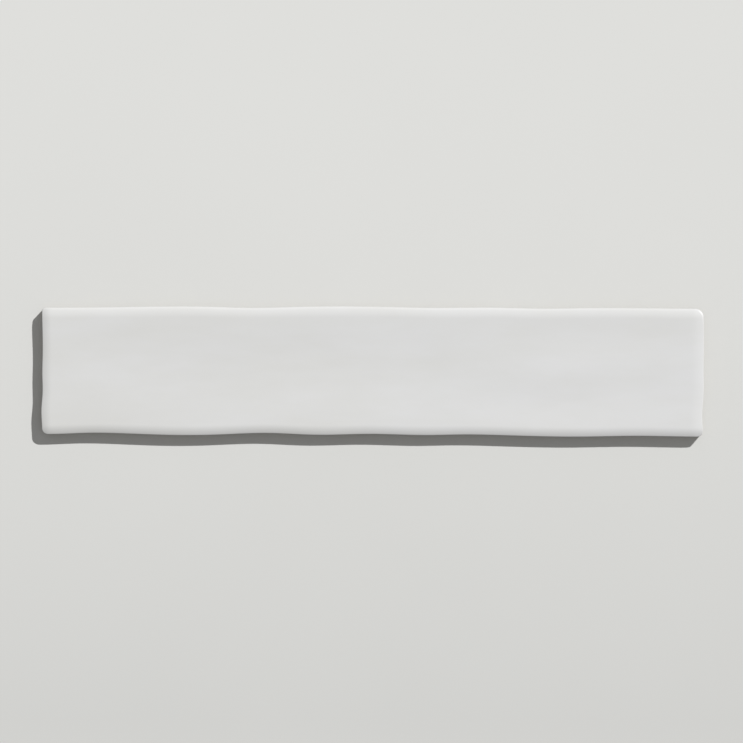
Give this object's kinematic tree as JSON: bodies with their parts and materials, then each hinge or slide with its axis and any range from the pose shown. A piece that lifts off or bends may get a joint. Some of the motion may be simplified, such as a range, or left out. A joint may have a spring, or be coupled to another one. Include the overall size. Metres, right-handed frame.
{
  "type": "subway wall tile",
  "caption": "Long slim white glazed ceramic wall tile with hand-made looking wavy edges, a softly uneven face and a keyed back.",
  "frame": {"origin": "middle of the back, on the plane of its ribs, which the tile beds on", "axes": "+X along the tile's length, +Y across it, +Z out of the glazed face"},
  "size_m": [0.3976, 0.0777, 0.0094],
  "materials": {
    "white_glaze": "soft white glaze with a gentle gloss over the face and sides, bare pale biscuit on the back"
  },
  "bodies": {
    "root": {"wall_tile": "white_glaze"}
  },
  "joints": []
}
